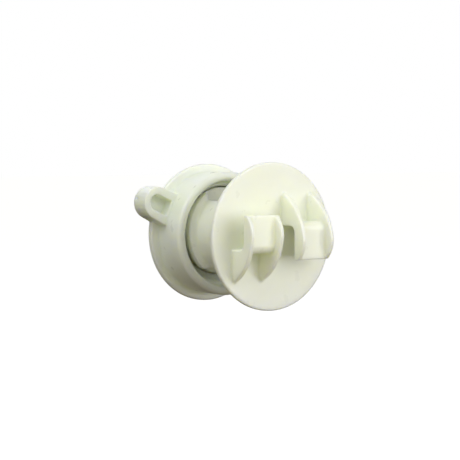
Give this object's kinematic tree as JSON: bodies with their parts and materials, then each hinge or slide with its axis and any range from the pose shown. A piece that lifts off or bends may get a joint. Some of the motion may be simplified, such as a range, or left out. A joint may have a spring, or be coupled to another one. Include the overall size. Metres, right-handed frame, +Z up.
{
  "type": "round post fence insulator",
  "caption": "Screw-clamp fence insulator for a round rod post: a disc with opposed wire hooks on a hollow threaded stem, and a winged nut that presses the rod into the stem's window.",
  "frame": {"origin": "on the axis of the rod that the part is clamped on, level with the axis of the disc, stem and nut", "axes": "+Z up along the rod, -Y the way the disc and its hooks face, +X to the right when the hooks face the viewer and Z is up"},
  "size_m": [0.0534, 0.0472, 0.0446],
  "materials": {
    "ivory_plastic": "semi-gloss, slightly translucent"
  },
  "bodies": {
    "front_body": {"front_body": "ivory_plastic"},
    "clamp_nut": {"clamp_nut": "ivory_plastic"}
  },
  "joints": [
    {"name": "nut_turn", "type": "hinge", "parent": "front_body", "child": "clamp_nut", "pos_m": [0, 0, 0], "axis": [0, 1, 0], "range_deg": [0, 90]}
  ]
}
